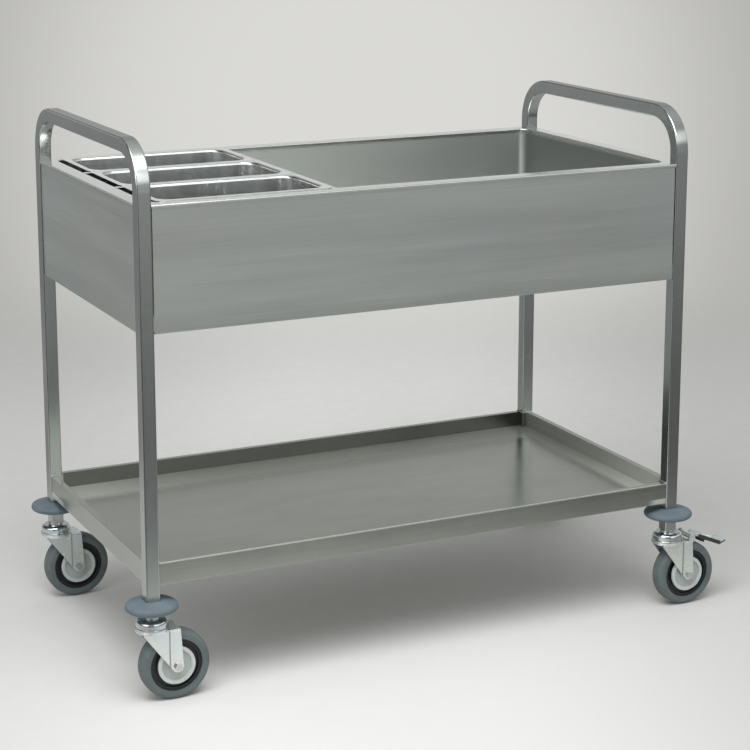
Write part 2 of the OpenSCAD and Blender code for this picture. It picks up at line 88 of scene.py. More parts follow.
# Camera back, soft lights, what they face, and the way to the backdrop's glow
SENSOR = 36.0
FAR_CLIP = 60.0
KEY_SIZE = (2.6, 2.0)
FILL_SIZE = (1.6, 1.6)
LIGHT_AIM = Vector((0, 0, 0.5))
GLOW_WAY = Vector((0.42, 0.89, -0.13)).normalized()
# Studio that the metal mirrors: levels from straight down (0) to straight up (1)
STUDIO_BEHIND = [(0.0, 0.46), (0.35, 0.30), (0.42, 0.27), (0.48, 0.50), (0.53, 0.88), (0.58, 0.88),
                 (0.625, 0.52), (0.70, 0.45), (0.77, 0.40), (0.90, 0.60), (1.0, 0.80)]
STUDIO_BEFORE = [(0.0, 0.60), (0.28, 0.46), (0.34, 0.16), (0.378, 0.07), (0.40, 0.42), (0.45, 0.64),
                 (0.50, 0.58), (0.61, 0.42), (0.655, 2.0), (0.78, 2.0), (0.83, 0.55), (0.90, 0.85),
                 (1.0, 0.90)]


# Sizes and colours


def length(name, description, default):
    return FloatProperty(name=name, description=description, default=default, min=0.0,
                         subtype="DISTANCE", unit="LENGTH", precision=4)


def colour(name, description, default):
    return FloatVectorProperty(name=name, description=description, default=default, size=3,
                               min=0.0, max=1.0, subtype="COLOR")


def share(name, description, default):
    return FloatProperty(name=name, description=description, default=default, min=0.0, max=1.0,
                         subtype="FACTOR")


def place(name, description, default):
    return FloatVectorProperty(name=name, description=description, default=default, size=3,
                               subtype="TRANSLATION", unit="LENGTH")


def angle(name, description, degrees):
    return FloatProperty(name=name, description=description, default=math.radians(degrees),
                         subtype="ANGLE", unit="ROTATION")


def power(name, description, default):
    return FloatProperty(name=name, description=description, default=default, subtype="POWER", unit="POWER")


def count(name, description, default):
    return IntProperty(name=name, description=description, default=default, min=1)


class SteelSettings(PropertyGroup):
    """Tones and sheen of the stainless steel"""
    tube: colour("Tube", "Brushed tube of the end frames", (0.445, 0.475, 0.46))
    panel: colour("Panels", "Brushed sheet of the side panels", (0.630, 0.668, 0.640))
    shelf: colour("Shelf", "Sheet of the shelf", (0.42, 0.44, 0.40))
    basin: colour("Basin", "Bright sheet of the basin", (0.61, 0.63, 0.61))
    container: colour("Containers", "Bright drawn sheet of the containers", (0.70, 0.715, 0.71))
    dull_panel: share("Panel roughness", "Roughness of the brushed panels", 0.36)
    dull_tube: share("Tube roughness", "Roughness of the brushed tube", 0.22)
    dull_shelf: share("Shelf roughness", "Roughness of the shelf", 0.22)
    dull_basin: share("Basin roughness", "Roughness of the basin and the containers", 0.20)


class CastorSettings(PropertyGroup):
    """Colours and sheen of the castors and bumpers"""
    zinc: colour("Zinc", "Bright zinc plate of forks and pedals", (0.74, 0.78, 0.77))
    head: colour("Swivel heads", "Polished zinc plate of swivel heads and axle bolts", (0.56, 0.59, 0.60))
    tyre: colour("Tyre", "Grey rubber of the tyres", (0.112, 0.140, 0.140))
    core: colour("Core", "Black plastic of the wheel cores", (0.006, 0.009, 0.010))
    guard: colour("Guards", "Pale plastic of the thread guards", (0.54, 0.59, 0.57))
    bumper: colour("Bumpers", "Grey-blue rubber of the bumper discs", (0.125, 0.160, 0.185))
    shoe: colour("Brake shoes", "Black rubber of the brake shoes", (0.015, 0.015, 0.016))
    metal_zinc: share("Zinc metal", "How metallic the zinc plate of forks and pedals is", 0.80)
    dull_zinc: share("Zinc roughness", "Roughness of the zinc plate of forks and pedals", 0.26)
    dull_head: share("Head roughness", "Roughness of the polished zinc plate", 0.09)
    dull_core: share("Core roughness", "Roughness of the wheel cores", 0.42)
    dull_guard: share("Guard roughness", "Roughness of the thread guards", 0.36)


class DetailSettings(PropertyGroup):
    """Folds, rounded edges and welds"""
    sheet: length("Sheet", "Thickness of the basin's sheet", 0.0015)
    rim: length("Rim", "Width of the basin's flat rim, from the legs' outer faces", 0.031)
    rim_pinch: share("Rim corners", "Size of the rim's outer corners against the well's", 0.05)
    well_corner: length("Well corners", "Corner radius of the well", 0.020)
    well_fold: length("Well fold", "Fold between the well's walls and its floor", 0.010)
    rim_fold: length("Rim fold", "Fold along the rim", 0.0022)
    lip: length("Lip", "Height of the lip turned down round the rim", 0.006)
    container_sheet: length("Container sheet", "Thickness of the containers' sheet", 0.0012)
    container_rim: length("Container rim", "Width of the containers' flat rim", 0.012)
    container_rim_fold: length("Container rim fold", "Fold between a container's rim and its walls", 0.004)
    container_edge: length("Container edges", "Rounding of the containers' cut edges", 0.0004)
    container_corner: length("Container corners", "Corner radius of the containers' mouths", 0.028)
    container_fold: length("Container fold", "Drawn radius round the containers' floors", 0.018)
    container_rim_corner: length("Container rim corners", "Corner radius of the containers' rims", 0.014)
    container_draft: share("Container draft", "Size of a container's floor against its mouth", 0.95)
    sheet_edge: length("Sheet edges", "Rounding of the folded sheet's edges", 0.0006)
    casting_edge: length("Castor edges", "Rounding of the castors' edges", 0.0007)
    shoe_edge: length("Shoe edges", "Rounding of the brake shoes' edges", 0.0008)
    pin_edge: length("Pin edges", "Rounding of the pedal pins' edges", 0.0004)
    guard_lip: length("Guard lip", "Inner radius of the thread guards' lip", 0.0275)
    weld: length("Weld beads", "Radius of the weld beads", 0.0017)
    weld_run: length("Weld length", "Length of one weld bead", 0.021)
    weld_ripples: count("Weld ripples", "Ripples in one weld bead", 13)
    weld_waist: share("Weld waist", "Width of a bead between two ripples", 0.84)
    weld_tip: share("Weld tip", "Width of a bead's ends", 0.45)
    weld_out: share("Weld height", "How far a bead's middle stands out of the corner it fills", 0.3)
    tread_ribs: count("Tread ribs", "Ribs across a brake pedal", 5)
    tread_rib: length("Tread rib", "Width of one rib on a brake pedal", 0.0024)
    tread_pitch: length("Tread pitch", "Distance between ribs on a brake pedal", 0.0075)
    tread_half: length("Tread width", "Half the width of the ribs on a brake pedal", 0.013)
    tread_end: length("Tread end", "Distance from the pedal's pin to the last rib", 0.066)
    tread_sunk: length("Tread root", "Depth of a rib in the pedal", 0.0006)
    tread_rise: length("Tread height", "Height of a rib above the pedal", 0.0009)
    tread_edge: length("Tread edges", "Rounding of the ribs' edges", 0.0006)
    shelf_land: length("Shelf rim", "Width of the shelf's flat rim", 0.012)
    shelf_drop: length("Shelf drop", "Depth of the shelf's deck below its rim", 0.030)
    fork_crease: length("Fork crease", "Distance from a kingpin back to the crease in its fork", 0.024)
    pedal_half: length("Pedal width", "Half the width of a brake pedal", 0.017)
    pedal_top: length("Pedal top", "Height of a pedal's upper face above its pin", 0.0045)
    pedal_slope: angle("Pedal slope", "Slope of a released brake pedal", 23)


class StageSettings(PropertyGroup):
    """Camera, floor and lights"""
    camera: place("Camera", "Place of the camera", (-1.6489, -3.4139, 1.4400))
    camera_down: angle("Look down", "Slope of the view", 12.11)
    camera_turn: angle("Look right", "Turn of the view from the back", 25.68)
    lens: FloatProperty(name="Lens", description="Focal length of the camera", default=97.94,
                        subtype="DISTANCE_CAMERA")
    lens_rise: FloatProperty(name="Lens rise", description="Vertical shift of the lens", default=-0.12)
    floor: colour("Floor", "Pale paper of the floor", (0.80, 0.80, 0.785))
    floor_reach: length("Floor reach", "Radius of the floor", 3.4)
    backdrop: colour("Backdrop", "Pale paper behind the trolley", (0.70, 0.695, 0.67))
    ambient: share("Ambient", "Level of the light from all round", 0.50)
    key: power("Key light", "Power of the soft light above", 95.0)
    key_place: place("Key place", "Place of the soft light above", (-0.8, -1.2, 3.0))
    fill: power("Fill light", "Power of the soft light from the left", 12.0)
    fill_place: place("Fill place", "Place of the soft light from the left", (-3.2, -1.6, 2.0))


class TrolleySettings(PropertyGroup):
    """All settings of the trolley"""
    steel: PointerProperty(type=SteelSettings)
    castors: PointerProperty(type=CastorSettings)
    details: PointerProperty(type=DetailSettings)
    stage: PointerProperty(type=StageSettings)


# Shader graphs


def tinted(tone, tint):
    return tuple(min(1.0, channel * factor) for channel, factor in zip(tone, tint)) + (1.0,)


def shade(tone, factor):
    return tinted(tone, (factor, factor, factor))


def grey(level):
    return (level, level, level, 1.0)


class Signal:
    """An output of a shader node that takes part in Python expressions"""

    def __init__(self, graph, node, output=0):
        self.graph = graph
        self.node = node
        self.socket = node.outputs[output] if node.outputs else None

    def other(self, output):
        return Signal(self.graph, self.node, output)

    def math(self, operation, *values):
        return self.graph.add("ShaderNodeMath", {"operation": operation}, dict(enumerate(values)))

    def __add__(self, value):
        return self.math("ADD", self, value)

    def __radd__(self, value):
        return self.math("ADD", value, self)

    def __sub__(self, value):
        return self.math("SUBTRACT", self, value)

    def __rsub__(self, value):
        return self.math("SUBTRACT", value, self)

    def __mul__(self, value):
        return self.math("MULTIPLY", self, value)

    def __truediv__(self, value):
        return self.math("DIVIDE", self, value)

    def __pow__(self, value):
        return self.math("POWER", self, value)

    def most(self, value):
        return self.math("MAXIMUM", self, value)

    def size(self):
        return self.math("ABSOLUTE", self)

    def wave(self):
        return self.math("SINE", self)

    def swing(self, amount):
        """Noise as a change to either side of zero"""
        return (self - 0.5) * amount

    def rising(self, low, high):
        """0 below low, 1 above high, smooth between"""
        return self.graph.add("ShaderNodeMapRange", {"interpolation_type": "SMOOTHSTEP"},
                              {0: self, 1: low, 2: high, 3: 0.0, 4: 1.0})


def diagonal(first, second):
    return (first * first + second * second) ** 0.5


class Graph:
    """The node tree of a material or of the world"""

    def __init__(self, owner):
        owner.use_nodes = True
        self.tree = owner.node_tree
        self.tree.nodes.clear()

    def add(self, kind, settings=None, inputs=None, output=0):
        node = self.tree.nodes.new(kind)
        for key, value in (settings or {}).items():
            if key == "stops":
                self.fill_ramp(node.color_ramp, value)
            else:
                setattr(node, key, value)
        for key, value in (inputs or {}).items():
            if isinstance(value, Signal):
                self.tree.links.new(value.socket, node.inputs[key])
            else:
                node.inputs[key].default_value = value
        return Signal(self, node, output)

    @staticmethod
    def fill_ramp(ramp, stops):
        while len(ramp.elements) < len(stops):
            ramp.elements.new(1.0)
        for element, (position, level) in zip(ramp.elements, stops):
            element.position = position
            element.color = grey(level)

    @cached_property
    def where(self):
        """Object coordinates"""
        return self.add("ShaderNodeTexCoord", output="Object")

    def parts(self, vector):
        """The X, Y and Z of a vector"""
        x = self.add("ShaderNodeSeparateXYZ", {}, {0: vector}, output="X")
        return x, x.other("Y"), x.other("Z")

    def dot(self, first, second):
        return self.add("ShaderNodeVectorMath", {"operation": "DOT_PRODUCT"}, {0: first, 1: second},
                        output="Value")

    def noise(self, scale, detail, rough, vector=None):
        return self.add("ShaderNodeTexNoise", {"noise_dimensions": "3D"}, {
            "Vector": vector or self.where, "Scale": scale, "Detail": detail, "Roughness": rough})

    def grain(self, scale):
        return self.noise(scale, detail=2.0, rough=0.5)

    def lines(self, axis, along, across, detail, rough):
        """Noise with one scale along an axis and another across it"""
        scale = tuple(along if letter == axis else across for letter in "XYZ")
        stretched = self.add("ShaderNodeMapping", {}, {"Vector": self.where, "Scale": scale})
        return self.noise(1.0, detail, rough, stretched)

    def mixed(self, factor, first, second, blend="MIX"):
        return self.add("ShaderNodeMix", {"data_type": "RGBA", "blend_type": blend},
                        {0: factor, 6: first, 7: second}, output=2)

    def toned(self, factor, tone, dark, light):
        """A tone that goes from a darker to a lighter shade"""
        return self.mixed(factor, shade(tone, dark), shade(tone, light))

    def bump(self, height, strength, distance):
        return self.add("ShaderNodeBump", {},
                        {"Strength": strength, "Distance": distance, "Height": height})

    def worn_edge(self, radius):
        """1 along sharp edges, 0 on flat faces"""
        rounded_normal = self.add("ShaderNodeBevel", {"samples": 4}, {"Radius": radius})
        flat_normal = self.add("ShaderNodeNewGeometry", output="Normal")
        return (1.0 - self.dot(rounded_normal, flat_normal)).rising(0.01, 0.25)

    def shader(self, tone, rough, normal=None, metal=0.0, specular=0.5):
        inputs = {"Base Color": tone, "Roughness": rough, "Metallic": metal, "Specular IOR Level": specular}
        if normal is not None:
            inputs["Normal"] = normal
        return self.add("ShaderNodeBsdfPrincipled", {}, inputs)

    def surface(self, shader):
        self.add("ShaderNodeOutputMaterial", {}, {"Surface": shader})


def finish_named(name, make, *settings):
    """The material of that name, made on first use"""
    if name not in bpy.data.materials:
        make(Graph(bpy.data.materials.new(name)), *settings)
    return bpy.data.materials[name]


def brushed(graph, tone, dull, axis):
    """Stainless sheet brushed along one axis"""
    lines = graph.lines(axis, along=4.0, across=520.0, detail=6.0, rough=0.58)
    scratch = graph.lines(axis, along=26.0, across=2600.0, detail=3.0, rough=0.6)
    bands = graph.lines(axis, along=0.9, across=16.0, detail=4.0, rough=0.55)
    cloud = graph.noise(scale=3.2, detail=3.0, rough=0.5)
    worn = graph.worn_edge(SHEET_WEAR)
    steel = graph.toned((lines * 0.45 + bands * 0.55).rising(0.30, 0.70), tone, dark=0.90, light=1.06)
    cast = graph.mixed(cloud.rising(0.35, 0.65), BRUSHED_COOL, BRUSHED_WARM)
    steel = graph.mixed(1.0, steel, cast, blend="MULTIPLY")
    steel = graph.mixed(worn * 0.5, steel, shade(tone, 1.22))
    rough = lines.swing(0.22) + bands.swing(0.12) + dull - worn * 0.08
    normal = graph.bump(scratch, strength=0.30, distance=0.00006)
    graph.surface(graph.shader(steel, rough, normal, metal=1.0))


def brushed_tube(graph, tone, dull, handle_z):
    """Square tube brushed along its run: up the legs, across the handle, whose top face has painted shade
    and is rougher
    """
    height = graph.parts(graph.where)[2]
    level = height.rising(handle_z - 0.035, handle_z)
    leg = graph.lines("Z", along=3.0, across=900.0, detail=4.0, rough=0.55)
    grip = graph.lines("Y", along=3.0, across=900.0, detail=4.0, rough=0.55)
    lines = leg * (1.0 - level) + grip * level
    cloud = graph.noise(scale=7.0, detail=4.0, rough=0.5)
    smudge = graph.noise(scale=38.0, detail=4.0, rough=0.6).rising(0.55, 0.80)
    steel = graph.toned((lines * 0.4 + cloud * 0.6).rising(0.30, 0.70), tone, dark=0.96, light=1.04)
    # Painted shade on the top face of the handle, which is also rougher there
    painted_shade_top = height.rising(handle_z - 0.0014, handle_z - 0.0004)
    steel = graph.mixed(painted_shade_top * 0.9, steel, shade(tone, 0.55))
    rough = lines.swing(0.06) + smudge * 0.05 + painted_shade_top * 0.12 + dull
    normal = graph.bump(lines, strength=0.02, distance=0.00002)
    graph.surface(graph.shader(steel, rough, normal, metal=1.0))


def rolled(graph, tone, dull):
    """Colour, roughness and normal of rolled sheet with faint lines along X, rubbed in use"""
    lines = graph.lines("X", along=4.0, across=260.0, detail=5.0, rough=0.6)
    rub = graph.lines("X", along=5.0, across=11.0, detail=5.0, rough=0.62)
    worn = graph.worn_edge(SHEET_WEAR)
    steel = graph.toned((lines * 0.4 + rub * 0.6).rising(0.28, 0.72), tone, dark=0.90, light=1.06)
    steel = graph.mixed(worn * 0.5, steel, shade(tone, 1.18))
    rough = rub.swing(0.14) + lines.swing(0.08) + dull
    return steel, rough, graph.bump(lines, strength=0.08, distance=0.00006)


def basin_sheet(graph, tone, dull, well):
    """Bright rolled sheet; the well is rougher, with painted light on its back wall and painted shade on
    its right-hand one
    """
    x, y, z = graph.parts(graph.where)
    steel, rough, normal = rolled(graph, tone, dull)
    below = 1.0 - z.rising(well.z - 0.012, well.z - 0.003)
    # Painted light on the well's back wall
    back = below * y.rising(well.y - 0.014, well.y - 0.002)
    # Painted shade on the well's right-hand wall
    right = below * x.rising(well.x - 0.014, well.x - 0.002)
    steel = graph.mixed(below, steel, shade(tone, 1.04))
    steel = graph.mixed(back, steel, shade(tone, 1.60))
    steel = graph.mixed(right, steel, shade(tone, 0.44))
    rough = rough * (1.0 - below) + below * (dull + 0.10)
    graph.surface(graph.shader(steel, rough, normal, metal=1.0))


def upstand(across, wall):
    """1 on the inner face of an upstand, 0 on the deck before it and on the rim behind it"""
    return across.rising(wall - 0.0030, wall - 0.0015) * (1.0 - across.rising(wall + 0.0004, wall + 0.0010))


def shelf_sheet(graph, tone, dull, low, high, drop, land):
    """Rolled sheet of the shelf: painted highlight along the rim's front edge, painted shade on the upstand
    at the back, a rougher, less metallic upstand at the right, and painted light on the deck before these
    upstands
    """
    x, y, z = graph.parts(graph.where)
    steel, rough, normal = rolled(graph, tone, dull)
    wall_x, wall_y, deck = high.x - land, high.y - land, high.z - drop
    above = z.rising(deck + 0.0001, deck + 0.0003)
    # Painted shade on the inner face of the upstand at the back
    back = above * upstand(y, wall_y)
    right = above * upstand(x, wall_x)
    # Painted light in bands of the deck before the upstands at the right and at the back, where the deck is
    # also less metallic
    beside_right = x.rising(wall_x - 0.055, wall_x - 0.030)
    before_back = y.rising(wall_y - 0.105, wall_y - 0.070)
    painted_light_bands = (1.0 - above) * (1.0 - (1.0 - beside_right) * (1.0 - before_back))
    # Painted highlight along the top of the rim's front face
    rim = z.rising(high.z - 0.0030, high.z - 0.0018) * (1.0 - y.rising(low.y + 0.0012, low.y + 0.0026))
    steel = graph.mixed(painted_light_bands, steel, shade(tone, 1.40))
    steel = graph.mixed(back, steel, shade(tone, 0.34))
    steel = graph.mixed(right, steel, shade(tone, 0.92))
    steel = graph.mixed(rim, steel, shade(tone, 2.1))
    metal = 1.0 - right * 0.60 - painted_light_bands * 0.60
    graph.surface(graph.shader(steel, rough + right * 0.40, normal, metal))


def drawn(graph, tone, dull):
    """Deep-drawn sheet: bright, with faint upright draw marks and water stains"""
    marks = graph.lines("Z", along=7.0, across=210.0, detail=4.0, rough=0.6)
    stain = graph.noise(scale=16.0, detail=5.0, rough=0.6)
    ring = graph.grain(55.0).rising(0.58, 0.70)
    worn = graph.worn_edge(PART_WEAR)
    steel = graph.toned((marks * 0.5 + stain * 0.5).rising(0.30, 0.70), tone, dark=0.90, light=1.05)
    steel = graph.mixed(worn * 0.5, steel, shade(tone, 1.15))
    rough = stain.swing(0.16) + marks.swing(0.10) + ring * 0.05 + dull
    normal = graph.bump(marks, strength=0.05, distance=0.00006)
    graph.surface(graph.shader(steel, rough, normal, metal=1.0))


def zinc_plate(graph, tone, dull, metal, crease=None, sides=None):
    """Bright zinc plate with a faint bloom; painted shade along the line of a crease across X, or painted
    shade on the sides across Y
    """
    x, y = graph.parts(graph.where)[:2]
    bloom = graph.noise(scale=38.0, detail=3.0, rough=0.5)
    grain = graph.grain(1400.0)
    grime = graph.noise(scale=90.0, detail=4.0, rough=0.6).rising(0.62, 0.85)
    worn = graph.worn_edge(PART_WEAR)
    plate = graph.mixed(bloom.rising(0.35, 0.65), tinted(tone, ZINC_COOL), tinted(tone, ZINC_WARM))
    plate = graph.mixed(grime * 0.20, plate, shade(tone, 0.65))
    plate = graph.mixed(worn * 0.4, plate, shade(tone, 1.12))
    rough = grain.swing(0.06) + bloom.swing(0.10) + grime * 0.06 + dull
    if crease is not None:
        # Painted shade along the line of the fork's crease
        pressed = 1.0 - (x - crease).size().rising(0.0008, 0.0018)
        plate = graph.mixed(pressed * 0.6, plate, shade(tone, 0.35))
    if sides is not None:
        middle, half = sides
        # Painted shade on the plate's sides across Y, which are also rougher
        cut = (y - middle).size().rising(half - 0.0009, half - 0.0004)
        plate = graph.mixed(cut, plate, shade(tone, 0.10))
        rough = rough + cut * 0.20
    normal = graph.bump(grain, strength=0.05, distance=0.00003)
    graph.surface(graph.shader(plate, rough, normal, metal))


def ground_steel(graph, tone):
    """Ground bearing steel under a film of grease"""
    film = graph.noise(scale=160.0, detail=3.0, rough=0.5)
    steel = graph.toned(film.rising(0.40, 0.65), tone, dark=0.80, light=1.05)
    graph.surface(graph.shader(steel, film * 0.25 + 0.06, metal=1.0))


def from_axle(graph, axle):
    """Distance from a wheel's axle"""
    local = graph.add("ShaderNodeVectorMath", {"operation": "SUBTRACT"}, {0: graph.where, 1: axle})
    x, _, z = graph.parts(local)
    return diagonal(x, z)


def tyre_rubber(graph, tone, axle):
    """Grey rubber: moulding rings on the sides, dust and scuffs on the tread"""
    out = from_axle(graph, axle)
    tread = (out / axle.z).rising(0.93, 0.995)
    dust = graph.noise(scale=60.0, detail=5.0, rough=0.62)
    scuff = graph.noise(scale=260.0, detail=4.0, rough=0.65).rising(0.50, 0.75)
    rings = (out * 2600.0).wave()
    grain = graph.grain(1500.0)
    rubber = graph.toned(dust.rising(0.30, 0.75), tone, dark=0.88, light=1.14)
    rubber = graph.mixed(tread * scuff * 0.6, rubber, shade(tone, 1.5))
    rough = 0.52 + dust * 0.16 + tread * 0.12
    height = rings * 0.20 * (1.0 - tread) + grain * 0.6
    normal = graph.bump(height, strength=0.25, distance=0.00012)
    graph.surface(graph.shader(rubber, rough, normal, specular=0.4))


def moulded(graph, tone, dull, axle, grain_size, lip=None):
    """Moulded plastic with a fine grain, a turned flow pattern and painted shade inside its lip"""
    out = from_axle(graph, axle)
    grain = graph.grain(grain_size)
    flow = graph.noise(scale=34.0, detail=4.0, rough=0.6)
    rings = (out * 1900.0).wave()
    worn = graph.worn_edge(PART_WEAR)
    plastic = graph.toned(flow.rising(0.30, 0.70), tone, dark=0.90, light=1.06)
    if lip is not None:
        # Painted shade inside the lip
        plastic = graph.mixed(1.0 - out.rising(lip - 0.0012, lip), plastic, shade(tone, 0.74))
    plastic = graph.mixed(worn * 0.35, plastic, shade(tone, 1.30))
    rough = flow.swing(0.16) + dull
    normal = graph.bump(grain * 0.7 + rings * 0.15, strength=0.18, distance=0.00010)
    graph.surface(graph.shader(plastic, rough, normal, specular=0.45))


def bumper_rubber(graph, tone):
    """Soft grey-blue rubber with scuffs"""
    cloud = graph.noise(scale=30.0, detail=4.0, rough=0.55)
    scuff = graph.lines("Z", along=420.0, across=60.0, detail=5.0, rough=0.7).rising(0.58, 0.78)
    grain = graph.grain(1300.0)
    rubber = graph.toned(cloud.rising(0.30, 0.70), tone, dark=0.90, light=1.12)
    rubber = graph.mixed(scuff * 0.35, rubber, shade(tone, 1.45))
    rough = 0.58 + cloud * 0.10 + scuff * 0.14
    normal = graph.bump(grain, strength=0.20, distance=0.00010)
    graph.surface(graph.shader(rubber, rough, normal, specular=0.22))


def shoe_rubber(graph, tone):
    """Black rubber rubbed grey by the tyre"""
    rub = graph.noise(scale=150.0, detail=4.0, rough=0.6)
    rubber = graph.toned(rub.rising(0.40, 0.75), tone, dark=0.9, light=3.0)
    normal = graph.bump(rub, strength=0.2, distance=0.0002)
    graph.surface(graph.shader(rubber, rub * 0.2 + 0.55, normal))


def weld_metal(graph, tone):
    """Weld bead with a straw and blue heat bloom"""
    heat = graph.noise(scale=260.0, detail=3.0, rough=0.55)
    bead = graph.mixed(heat.rising(0.35, 0.70), tinted(tone, WELD_STRAW), tinted(tone, WELD_BLUE))
    normal = graph.bump(heat, strength=0.3, distance=0.0002)
    graph.surface(graph.shader(bead, heat * 0.2 + 0.25, normal, metal=1.0))


def pale_paper(graph, tone, reach, turn):
    """Floor paper with painted shade towards the front and to either side, that thins out to the backdrop,
    and in what the metal mirrors also before and behind
    """
    x, y = graph.parts(graph.where)[:2]
    away = diagonal(x, y)
    aside = x * math.cos(turn) - y * math.sin(turn)
    fibre = graph.noise(scale=24.0, detail=4.0, rough=0.6)
    paper = graph.toned(fibre.rising(0.3, 0.7), tone, dark=0.985, light=1.015)
    # Painted shade: darker towards the front and to either side
    paper = graph.mixed(y.rising(-1.0, 0.4), shade(tone, 0.86), paper)
    paper = graph.mixed(aside.size().rising(0.15, 0.95) * 0.24, paper, grey(0.0))
    sheet = graph.shader(paper, fibre * 0.1 + 0.6, specular=0.2)
    clear = graph.add("ShaderNodeBsdfTransparent")
    mirrored = graph.add("ShaderNodeLightPath", output="Is Glossy Ray")
    ahead = diagonal(x / 1.2, y / 0.85).rising(0.55, 1.5) * (1.0 - y.rising(-0.2, 0.2))
    behind = y.rising(0.7, 1.2) * (1.0 - away.rising(2.0, 2.6)) * 0.9
    thin = away.rising(reach * 0.45, reach * 0.97).most(mirrored * ahead.most(behind))
    graph.surface(graph.add("ShaderNodeMixShader", {}, {0: thin, 1: sheet, 2: clear}))


# Modelling by hand


def only(obj):
    """Makes obj the one selected and active object"""
    bpy.ops.object.select_all(action="DESELECT")
    obj.select_set(True)
    bpy.context.view_layer.objects.active = obj


class shaping:
    """Edit mode on one object, for a with block"""

    def __init__(self, obj):
        self.obj = obj

    def __enter__(self):
        only(self.obj)
        bpy.ops.object.mode_set(mode="EDIT")
        return self

    def __exit__(self, *error):
        bpy.ops.object.mode_set(mode="OBJECT")

    def pick(self, kind, test):
        """Selects the vertices, edges or faces that pass the test"""
        bpy.ops.mesh.select_mode(type=kind)
        bpy.ops.mesh.select_all(action="DESELECT")
        mesh = bmesh.from_edit_mesh(self.obj.data)
        parts = {"VERT": mesh.verts, "EDGE": mesh.edges, "FACE": mesh.faces}[kind]
        for part in parts:
            if test(part):
                part.select_set(True)
        bmesh.update_edit_mesh(self.obj.data)

    def edges_on(self, test):
        """Selects the edges whose two ends pass the test"""
        self.pick("EDGE", lambda edge: all(test(vertex.co) for vertex in edge.verts))

    def folds_at(self, level):
        """Selects the sharp folds at a level or above it"""
        self.pick("EDGE", lambda edge: len(edge.link_faces) == 2
                  and all(vertex.co.z > level - NEAR for vertex in edge.verts)
                  and edge.calc_face_angle(0.0) > FOLD_CREASE)

    def open_box(self, corner, steps):
        """Takes the lid off a box and rounds its upright edges"""
        self.pick("FACE", lambda face: face.normal.z > 0.9)
        bpy.ops.mesh.delete(type="ONLY_FACE")
        self.pick("EDGE", lambda edge: abs(edge.verts[0].co.z - edge.verts[1].co.z) > NEAR)
        self.bevel(corner, steps)

    def bevel(self, width, steps):
        bpy.ops.mesh.bevel(offset=width, segments=steps, affect="EDGES")

    def pull(self, shift):
        bpy.ops.mesh.extrude_region_move(TRANSFORM_OT_translate={"value": shift})

    def scale(self, factors, centre):
        bpy.ops.transform.resize(value=factors, center_override=centre)


def applied(obj, kind, **settings):
    """Adds a modifier and applies it"""
    only(obj)
    modifier = obj.modifiers.new(kind.title(), kind)
    for key, value in settings.items():
        setattr(modifier, key, value)
    bpy.ops.object.modifier_apply(modifier=modifier.name)


def bevelled(obj, width, steps, crease):
    """Rounds the edges that are sharper than an angle"""
    applied(obj, "BEVEL", width=width, segments=steps, limit_method="ANGLE", angle_limit=crease)


def thickened(obj, thickness):
    """Gives a skin its thickness, on the inner side"""
    applied(obj, "SOLIDIFY", thickness=thickness, offset=-1.0, use_even_offset=True)


def settled(obj):
    """Puts an object's place and turn into its mesh"""
    only(obj)
    bpy.ops.object.transform_apply(location=True, rotation=True, scale=True)
    return obj


def removed(obj):
    only(obj)
    bpy.ops.object.delete()


def added(operator, name, **settings):
    """The object that an operator adds, alone in the selection"""
    bpy.ops.object.select_all(action="DESELECT")
    operator(**settings)
    obj = bpy.context.object
    obj.name = name
    return obj


def block(name, low, high):
    """Box between two corners"""
    low, high = Vector(low), Vector(high)
    return settled(added(bpy.ops.mesh.primitive_cube_add, name, size=1.0, location=(low + high) / 2,
                         scale=high - low))


def joined(name, objects):
    """One piece from several"""
    bpy.ops.object.select_all(action="DESELECT")
    for obj in objects:
        obj.select_set(True)
    bpy.context.view_layer.objects.active = objects[0]
    bpy.ops.object.join()
    objects[0].name = name
    return objects[0]


def copied(obj, name):
    """A copy with its own mesh"""
    twin = obj.copy()
    twin.data = obj.data.copy()
    twin.name = name
    bpy.context.scene.collection.objects.link(twin)
    return twin


def corners_of(centre, reach, level):
    """The four corners of a rectangle that lies at a level"""
    return [Vector((centre.x + x * reach.x, centre.y + y * reach.y, level))
            for x in (-1, 1) for y in (-1, 1)]


def beside(point, corner, size):
    """Whether a point lies within a rectangle's size of its corner, in plan"""
    return abs(point.x - corner.x) < size.x + NEAR and abs(point.y - corner.y) < size.y + NEAR


def eased(node, name, width):
    """Copy of a CAD node, merged, with its sharp edges rounded"""
    piece = bpy.data.objects.new(name, NODES[node].data.copy())
    bpy.context.scene.collection.objects.link(piece)
    only(piece)
    bpy.ops.mesh.customdata_custom_splitnormals_clear()
    with shaping(piece):
        bpy.ops.mesh.select_all(action="SELECT")
        bpy.ops.mesh.remove_doubles(threshold=MERGE)
        bpy.ops.mesh.dissolve_limited(angle_limit=FLAT)
    if width > 0:
        bevelled(piece, width, 2, CREASE)
    return piece


def finished(piece, body, material, nodes=()):
    """Smooths a piece, gives it its material and lets it ride on its body"""
    only(piece)
    bpy.ops.object.shade_smooth_by_angle(angle=CREASE)
    applied(piece, "WEIGHTED_NORMAL", keep_sharp=True)
    piece.data.materials.clear()
    piece.data.materials.append(material)
    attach(piece, body)
    if nodes:
        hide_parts(*nodes)


def rounded(node, name, width, body, material):
    """Finishes a CAD node as it is, but for its rounded edges"""
    finished(eased(node, name, width), body, material, [node])


def dressed(node, material):
    """Gives a CAD node a better material"""
    for slot in NODES[node].material_slots:
        slot.material = material


# Pieces


